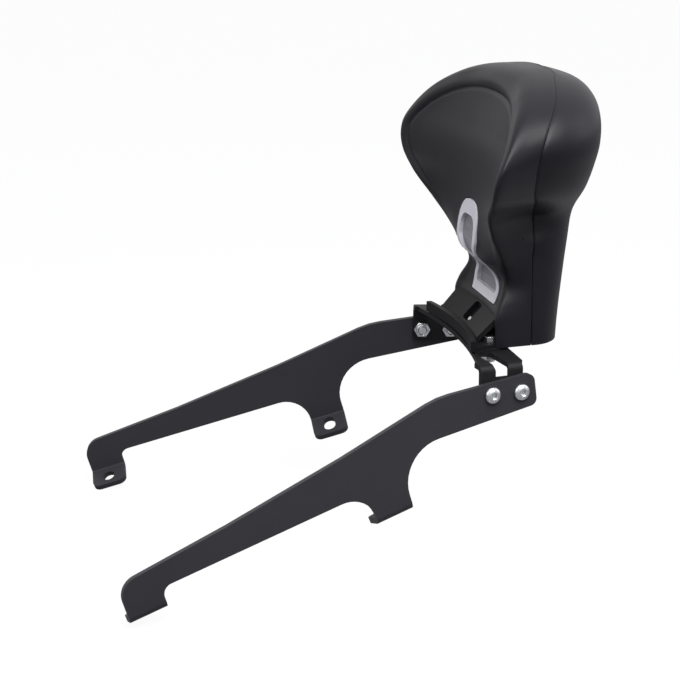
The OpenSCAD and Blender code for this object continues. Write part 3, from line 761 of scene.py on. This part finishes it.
def trimCutter():
    # the trim's outline grown at its sides, top and bottom, as deep as the trim is let in
    grow = pockets["grow"]
    lift = [-grow, 0, 0, 0, grow]
    right = rightSide([[x + grow, z + up, r] for (x, z, r), up in zip(trimHalf, lift)])
    z = np.linspace(right[0, 1], right[-1, 1], 90)
    half = np.interp(z, right[:, 1], right[:, 0])
    return slab(half, np.full_like(z, pockets["ahead"]), curve(frontMid, z) + pockets["trimDepth"], z)


def recessCutter(side):
    # upright cylinder over a foot bolt, with a rounded top
    ring = np.linspace(0, 2 * np.pi, 64, endpoint=False)
    r, bend, low = pockets["recessRadius"], pockets["recessRound"], foot["gasket"] - 2
    high = foot["gasket"] + foot["plate"] + pockets["recessHeight"]
    rows = [(r, low), (r, high - bend)] + [(r - bend + bend * math.cos(a), high - bend + bend * math.sin(a))
                                           for a in np.radians(np.linspace(10, 90, 7))]
    points = np.concatenate([layer(side * foot["boltX"] + w * np.cos(ring), foot["boltY"] + w * np.sin(ring),
                                   np.full_like(ring, z)) for w, z in rows]) + backrestOffset()
    return cutterObject(points, gridQuads(len(rows), 64, True))


def tongueCutter():
    # block that leaves room for the foot plate's tongue
    x, y, top = pockets["tongueX"], pockets["tongueY"], foot["gasket"] + foot["plate"] + backrest["gap"]
    base = np.array([[-x, 0], [x, 0], [x, y], [-x, y]])
    points = np.concatenate([np.column_stack([base, np.full(4, z)]) for z in (-1.0, top)]) + backrestOffset()
    return cutterObject(points, gridQuads(2, 4, True))


def joinTray():
    # the openings are recesses of a silver tray: its floor joins the trim, in a darker grey paint that is
    # painted shade of the recesses
    z = np.linspace(tray["from"], tray["to"], 60)
    right = rightSide(trimHalf)
    half = np.interp(z, right[:, 1], right[:, 0]) - tray["inset"]
    floor = slab(half, curve(frontMid, z) + tray["top"], curve(frontMid, z) + tray["bottom"], z)
    trim.data.materials.append(trayPaintDarkenedForShade)
    floor.data.polygons.foreach_set("material_index", np.ones(len(floor.data.polygons), int))
    both = trim.modifiers.new("tray", "BOOLEAN")
    both.object = floor
    both.operation = "UNION"
    both.solver = "EXACT"
    applyModifiers(trim)
    flatNormals(trim, 400)


def dimpleCutter(side, across=117.3, high=207.7, radius=1.5):
    # small ball on the side wall, at the mean of the wall's nearest points
    points = np.zeros(len(cushion.data.vertices) * 3)
    cushion.data.vertices.foreach_get("co", points)
    points = points.reshape(-1, 3) / mm
    points = points[points[:, 0] * side > 40]
    near = np.argsort(np.hypot(points[:, 1] - across, points[:, 2] - high))[:4]
    centre = points[near].mean(axis=0) + [0.5 * side, 0, 0]
    ring = np.linspace(0, 2 * np.pi, 24, endpoint=False)
    rise = np.linspace(-np.pi / 2, np.pi / 2, 14)[:, None]
    ball = layer(radius * np.cos(rise) * np.cos(ring), radius * np.cos(rise) * np.sin(ring),
                 radius * np.sin(rise) + 0 * ring)
    return cutterObject((ball + centre).reshape(-1, 3), gridQuads(14, 24, True))


joinTray()
for cutter in (trimCutter(), recessCutter(1), recessCutter(-1), tongueCutter(), dimpleCutter(1),
               dimpleCutter(-1)):
    cut = cushion.modifiers.new("pocket", "BOOLEAN")
    cut.object = cutter
    cut.solver = "EXACT"
applyModifiers(cushion)
for cutter in [o for o in bpy.data.objects if o.name.startswith("cutter")]:
    bpy.data.objects.remove(cutter)
shade(cushion, 40)
print("pockets cut,", len(cushion.data.polygons), "faces in the cushion")


# Floor, light and camera

studio = {
    "floorColor": "#EDEDEF", "floorShade": "#76767A", "floorReach": 60,
    "floorGlow": 0.94, "mirroredGlow": 0.22,
    "lightColor": "#F4F5F8", "brightSide": (-0.62, -0.58, 0.53), "dim": 0.05, "bright": 1.3,
    "lens": 86.52, "sensor": 36, "viewFrom": (1.2945, -0.3263, 0.4995),
}
# name, place, where it points, size, power
softboxes = [
    ("overheadSoftbox", (0.8, 0.2, 1.3), (0, 0.05, 0.1), (1.1, 1.0), 33.0),
    ("frontSoftbox", (0.9, -1.2, 0.9), (0, 0.05, 0.1), (0.8, 0.8), 4.0),
    ("rearSoftbox", (0.2, 1.4, 0.9), (0, 0.1, 0.25), (0.4, 1.0), 3.0),
]


def whereSeen(tree):
    # 1 where the camera, a reflection or a refraction looks
    path = addNode(tree, "ShaderNodeLightPath")
    seen = addNode(tree, "ShaderNodeMath", links={0: path.outputs["Is Camera Ray"],
                                                  1: path.outputs["Is Glossy Ray"]}, operation="MAXIMUM")
    return addNode(tree, "ShaderNodeMath", links={0: seen.outputs[0], 1: path.outputs["Is Transmission Ray"]},
                   operation="MAXIMUM").outputs[0]


def makeWorld():
    # white where it is seen; the light itself comes from the backdrop's side and from above
    world = bpy.data.worlds.new("studioWorld")
    scene.world = world
    world.use_nodes = True
    tree = world.node_tree
    tree.nodes.clear()
    direction = addNode(tree, "ShaderNodeTexCoord").outputs["Generated"]
    toward = addNode(tree, "ShaderNodeVectorMath", {1: studio["brightSide"]}, {0: direction},
                     operation="DOT_PRODUCT")
    level = addNode(tree, "ShaderNodeMapRange",
                    {"From Min": -0.35, "From Max": 0.85, "To Min": studio["dim"],
                     "To Max": studio["bright"]},
                    {"Value": toward.outputs["Value"]}, interpolation_type="SMOOTHSTEP")
    light = addNode(tree, "ShaderNodeBackground", {"Color": hexColor(studio["lightColor"])},
                    {"Strength": level.outputs["Result"]})
    seen = addNode(tree, "ShaderNodeBackground", {"Color": (1, 1, 1, 1), "Strength": 1.0})
    mix = addNode(tree, "ShaderNodeMixShader", links={0: whereSeen(tree), 1: light.outputs[0],
                                                      2: seen.outputs[0]})
    addNode(tree, "ShaderNodeOutputWorld", links={"Surface": mix.outputs[0]})


def makeFloor():
    # matt floor, pale and mostly glow to the camera, so the shadow stays soft. To reflections it glows less,
    # and to reflections and bounced light it is mid-grey, which keeps the black parts dark
    low, reach = cadBox[0][2], studio["floorReach"]
    data = bpy.data.meshes.new("studioFloor")
    corners = [(-reach, -reach, low), (reach, -reach, low), (reach, reach, low), (-reach, reach, low)]
    data.from_pydata(corners, [], [(0, 1, 2, 3)])
    floor = bpy.data.objects.new("studioFloor", data)
    scene.collection.objects.link(floor)
    material = bpy.data.materials.new("mattWhiteFloor")
    material.use_nodes = True
    tree = material.node_tree
    tree.nodes.clear()
    color = addNode(tree, "ShaderNodeMix",
                    {6: hexColor(studio["floorShade"]), 7: hexColor(studio["floorColor"])},
                    {0: addNode(tree, "ShaderNodeLightPath").outputs["Is Camera Ray"]}, data_type="RGBA")
    matt = addNode(tree, "ShaderNodeBsdfDiffuse", links={"Color": color.outputs[2]})
    glow = addNode(tree, "ShaderNodeEmission", {"Color": (1, 1, 1, 1), "Strength": 1.0})
    camera = addNode(tree, "ShaderNodeMath", {1: studio["floorGlow"]},
                     {0: addNode(tree, "ShaderNodeLightPath").outputs["Is Camera Ray"]}, operation="MULTIPLY")
    mirrored = addNode(tree, "ShaderNodeMath", {1: studio["mirroredGlow"]}, {0: whereSeen(tree)},
                       operation="MULTIPLY")
    share = addNode(tree, "ShaderNodeMath", links={0: camera.outputs[0], 1: mirrored.outputs[0]},
                    operation="MAXIMUM")
    mix = addNode(tree, "ShaderNodeMixShader",
                  links={0: share.outputs[0], 1: matt.outputs[0], 2: glow.outputs[0]})
    addNode(tree, "ShaderNodeOutputMaterial", links={"Surface": mix.outputs[0]})
    data.materials.append(material)


def makeLight(name, place, target, size, power):
    data = bpy.data.lights.new(name, "AREA")
    data.shape = "RECTANGLE"
    data.size, data.size_y = size
    data.energy = power
    light = bpy.data.objects.new(name, data)
    scene.collection.objects.link(light)
    light.location = place
    light.rotation_euler = (Vector(target) - Vector(place)).to_track_quat("-Z", "Y").to_euler()


def makeCamera():
    # right, up and back directions fitted to the two arms as mirror images
    data = bpy.data.cameras.new("viewCamera")
    data.sensor_width = studio["sensor"]
    data.lens = studio["lens"]
    camera = bpy.data.objects.new("viewCamera", data)
    scene.collection.objects.link(camera)
    right, up = (0.22692, 0.97381, 0.01416), (-0.27578, 0.05031, 0.9599)
    back = (0.93405, -0.22173, 0.27997)
    turn = Matrix((right, up, back)).transposed().to_4x4()
    camera.matrix_world = Matrix.Translation(studio["viewFrom"]) @ turn
    scene.camera = camera


makeWorld()
makeFloor()
for softbox in softboxes:
    makeLight(*softbox)
makeCamera()
scene.view_settings.view_transform = "Standard"
print("studio ready")
